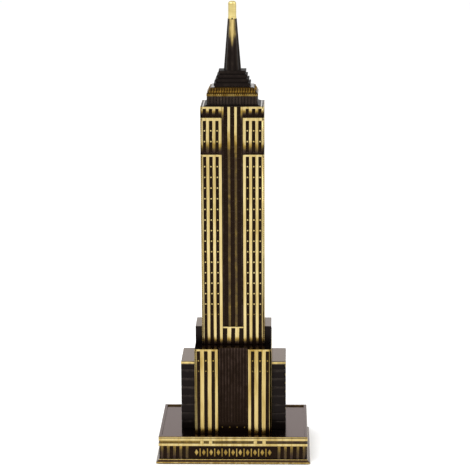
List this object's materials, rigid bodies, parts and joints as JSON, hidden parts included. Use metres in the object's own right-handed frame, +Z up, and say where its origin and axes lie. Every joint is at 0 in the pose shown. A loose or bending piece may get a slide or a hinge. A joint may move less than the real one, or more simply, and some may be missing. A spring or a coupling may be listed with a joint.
{
  "type": "miniature landmark model",
  "caption": "Desk souvenir of a stepped high-rise tower: relief-cast shaft on a podium with wings, tiered crown and tapered mast, on a rectangular plinth.",
  "frame": {"origin": "centre of the felt pad's underside, where the model stands on a surface", "axes": "+Z up along the mast, +X to the tower's right across the plinth's long side, +Y from the ornamented front to the rear"},
  "size_m": [0.06, 0.044, 0.178],
  "materials": {
    "antique_brass": "die-cast zinc plated and relieved to antique brass: dark recesses, polished high spots",
    "dark_bronze": "die-cast zinc, blackened and lightly polished",
    "bright_brass": "turned and polished brass",
    "zinc_steel": "zinc-plated steel",
    "steel_sheet": "plain sheet steel",
    "black_felt": "pressed wool felt"
  },
  "bodies": {
    "root": {"felt_pad": "black_felt", "base_plate": "steel_sheet", "plinth": "antique_brass", "podium_front": "antique_brass", "podium_rear": "antique_brass", "podium_pins": "zinc_steel", "wing_left": "dark_bronze", "wing_right": "dark_bronze", "wing_pins": "zinc_steel", "terrace_left": "dark_bronze", "terrace_right": "dark_bronze", "shaft_front": "antique_brass", "shaft_rear": "antique_brass", "shaft_pins": "zinc_steel", "crown_drum": "dark_bronze", "crown_band": "antique_brass", "crown_steps": "dark_bronze", "mast": "dark_bronze", "mast_tip": "bright_brass", "tip_pin": "zinc_steel", "tie_rod": "zinc_steel", "rod_washer": "zinc_steel", "rod_nut": "zinc_steel", "plinth_screws": "zinc_steel"}
  },
  "joints": []
}
